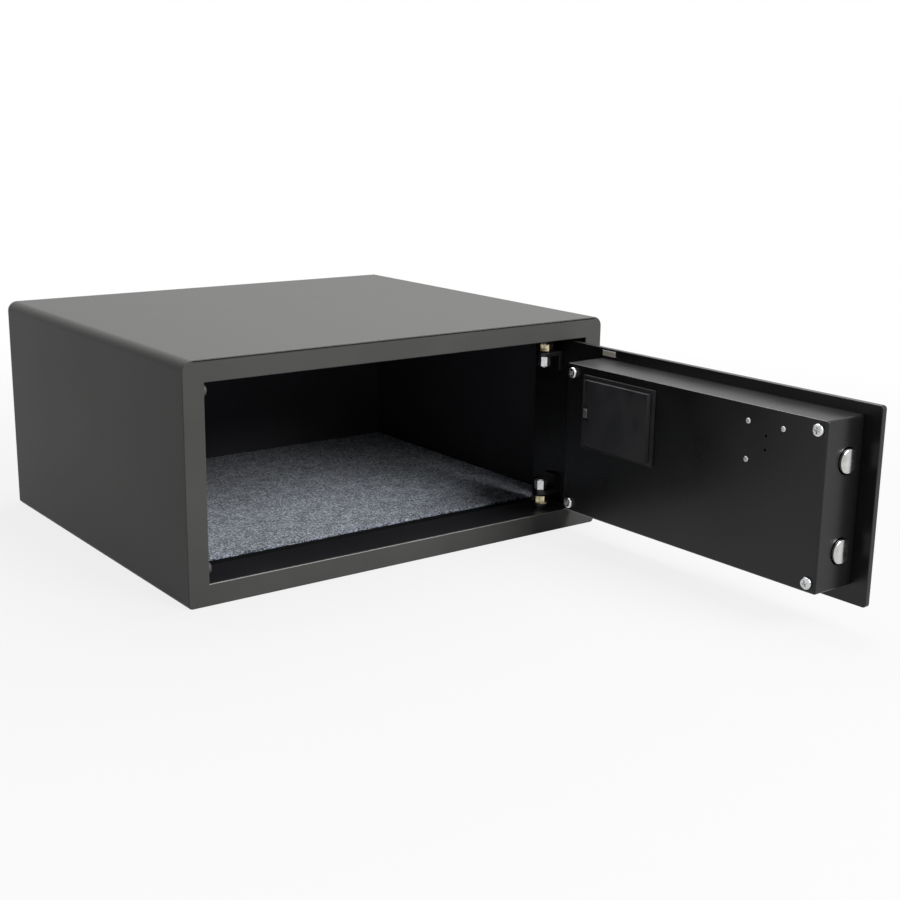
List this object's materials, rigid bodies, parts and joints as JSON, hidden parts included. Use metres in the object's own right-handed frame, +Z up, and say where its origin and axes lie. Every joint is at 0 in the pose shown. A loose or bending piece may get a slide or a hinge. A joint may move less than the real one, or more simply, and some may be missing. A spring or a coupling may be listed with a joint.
{
  "type": "hotel room safe",
  "caption": "Low steel safe with a carpeted floor and a hinged front door that carries round lock bolts, a battery box, an emergency key lock and a keypad.",
  "frame": {"origin": "middle of the underside of the base plate, where the safe stands on its shelf", "axes": "+X to the right seen from the front, +Y from the front face to the back face, +Z up"},
  "size_m": [0.43, 0.7077, 0.2],
  "materials": {
    "graphite_paint": "fine-textured dark graphite powder coat",
    "inner_paint": "smooth black semi-gloss powder coat",
    "door_paint": "satin black powder coat",
    "carpet": "speckled blue-grey needle felt",
    "chrome": "bright chrome plate",
    "zinc": "bright zinc plate",
    "yellow_zinc": "zinc plate with a faint yellow passivation",
    "steel": "bare rolled steel",
    "brass": "machined brass",
    "black_plastic": "fine-grained moulded black plastic",
    "key_plastic": "matt grey moulded plastic",
    "window_plastic": "dark red clear plastic",
    "grey_rubber": "moulded grey rubber",
    "circuit_board": "glass-fibre board with a green mask",
    "bare_label": "plain satin foil",
    "cell_jacket": "printed film over a steel can"
  },
  "bodies": {
    "body": {"body_wrap": "graphite_paint", "base_plate": "graphite_paint", "back_panel": "graphite_paint", "front_frame": "graphite_paint", "top_hinge_rail": "inner_paint", "bottom_hinge_rail": "inner_paint", "strike_rail": "inner_paint", "floor_panel": "inner_paint", "carpet_mat": "carpet", "hinge_screw_top": "zinc", "hinge_screw_bottom": "zinc", "hinge_bush_top": "yellow_zinc", "hinge_bush_bottom": "yellow_zinc"},
    "door": {"door_plate": "door_paint", "hinge_arm_top": "door_paint", "hinge_arm_bottom": "door_paint", "lock_cover": "door_paint", "cover_screw_1": "zinc", "cover_screw_2": "zinc", "cover_screw_3": "zinc", "cover_screw_4": "zinc", "blank_label": "bare_label", "battery_tray": "black_plastic", "battery_cell_1": "cell_jacket", "battery_cell_2": "cell_jacket", "battery_cell_3": "cell_jacket", "battery_cell_4": "cell_jacket", "battery_contact_inner": "steel", "battery_contact_outer": "steel", "bolt_guide": "steel", "gearbox_housing": "steel", "drive_motor": "steel", "emergency_lock_body": "zinc", "control_board": "circuit_board", "keypad_housing": "black_plastic", "keypad_board": "circuit_board", "display_window": "window_plastic"},
    "battery_lid": {"battery_lid": "black_plastic"},
    "bolt_work": {"bolt_carriage": "steel", "lock_bolt_upper": "chrome", "lock_bolt_lower": "chrome"},
    "pinion": {"drive_pinion": "brass"},
    "lock_plug": {"emergency_lock_plug": "chrome", "emergency_lock_cam": "steel"},
    "keyhole_lid": {"keyhole_lid": "key_plastic"},
    "reset_button": {"reset_button": "grey_rubber"},
    "key_1": {"key_1": "key_plastic"},
    "key_2": {"key_2": "key_plastic"},
    "key_3": {"key_3": "key_plastic"},
    "key_4": {"key_4": "key_plastic"},
    "key_5": {"key_5": "key_plastic"},
    "key_6": {"key_6": "key_plastic"},
    "key_7": {"key_7": "key_plastic"},
    "key_8": {"key_8": "key_plastic"},
    "key_9": {"key_9": "key_plastic"},
    "key_clear": {"key_clear": "key_plastic"},
    "key_0": {"key_0": "key_plastic"},
    "key_enter": {"key_enter": "key_plastic"}
  },
  "joints": [
    {"name": "door_hinge", "type": "hinge", "parent": "body", "child": "door", "pos_m": [0.1645, -0.164, 0.1], "axis": [0, 0, 1], "range_deg": [-91, 19]},
    {"name": "bolt_slide", "type": "slide", "parent": "door", "child": "bolt_work", "axis": [0.0175, -0.9998, 0], "range_m": [0, 0.023]},
    {"name": "pinion_turn", "type": "hinge", "parent": "door", "child": "pinion", "pos_m": [0.16907, -0.42596, 0.1075], "axis": [-0.9998, -0.0175, 0], "range_deg": [0, 177]},
    {"name": "battery_lid_hinge", "type": "hinge", "parent": "door", "child": "battery_lid", "pos_m": [0.13721, -0.3312, 0.131], "axis": [0, 0, 1], "range_deg": [0, 90]},
    {"name": "emergency_lock_turn", "type": "hinge", "parent": "door", "child": "lock_plug", "pos_m": [0.17895, -0.41879, 0.079], "axis": [0.9998, 0.0175, 0], "range_deg": [0, 90]},
    {"name": "keyhole_lid_swing", "type": "hinge", "parent": "door", "child": "keyhole_lid", "pos_m": [0.20195, -0.41839, 0.097], "axis": [-0.9998, -0.0175, 0], "range_deg": [0, 100]},
    {"name": "reset_press", "type": "slide", "parent": "door", "child": "reset_button", "axis": [0.9998, 0.0175, 0], "range_m": [0, 0.0005], "stiffness_N_per_m": 400},
    {"name": "key_1_press", "type": "slide", "parent": "door", "child": "key_1", "axis": [-0.9998, -0.0175, 0], "range_m": [0, 0.001], "stiffness_N_per_m": 400},
    {"name": "key_2_press", "type": "slide", "parent": "door", "child": "key_2", "axis": [-0.9998, -0.0175, 0], "range_m": [0, 0.001], "stiffness_N_per_m": 400},
    {"name": "key_3_press", "type": "slide", "parent": "door", "child": "key_3", "axis": [-0.9998, -0.0175, 0], "range_m": [0, 0.001], "stiffness_N_per_m": 400},
    {"name": "key_4_press", "type": "slide", "parent": "door", "child": "key_4", "axis": [-0.9998, -0.0175, 0], "range_m": [0, 0.001], "stiffness_N_per_m": 400},
    {"name": "key_5_press", "type": "slide", "parent": "door", "child": "key_5", "axis": [-0.9998, -0.0175, 0], "range_m": [0, 0.001], "stiffness_N_per_m": 400},
    {"name": "key_6_press", "type": "slide", "parent": "door", "child": "key_6", "axis": [-0.9998, -0.0175, 0], "range_m": [0, 0.001], "stiffness_N_per_m": 400},
    {"name": "key_7_press", "type": "slide", "parent": "door", "child": "key_7", "axis": [-0.9998, -0.0175, 0], "range_m": [0, 0.001], "stiffness_N_per_m": 400},
    {"name": "key_8_press", "type": "slide", "parent": "door", "child": "key_8", "axis": [-0.9998, -0.0175, 0], "range_m": [0, 0.001], "stiffness_N_per_m": 400},
    {"name": "key_9_press", "type": "slide", "parent": "door", "child": "key_9", "axis": [-0.9998, -0.0175, 0], "range_m": [0, 0.001], "stiffness_N_per_m": 400},
    {"name": "key_clear_press", "type": "slide", "parent": "door", "child": "key_clear", "axis": [-0.9998, -0.0175, 0], "range_m": [0, 0.001], "stiffness_N_per_m": 400},
    {"name": "key_0_press", "type": "slide", "parent": "door", "child": "key_0", "axis": [-0.9998, -0.0175, 0], "range_m": [0, 0.001], "stiffness_N_per_m": 400},
    {"name": "key_enter_press", "type": "slide", "parent": "door", "child": "key_enter", "axis": [-0.9998, -0.0175, 0], "range_m": [0, 0.001], "stiffness_N_per_m": 400}
  ],
  "couplings": [
    {"joint": "pinion_turn", "follows": "bolt_slide", "rad_per_m": 133.33}
  ]
}
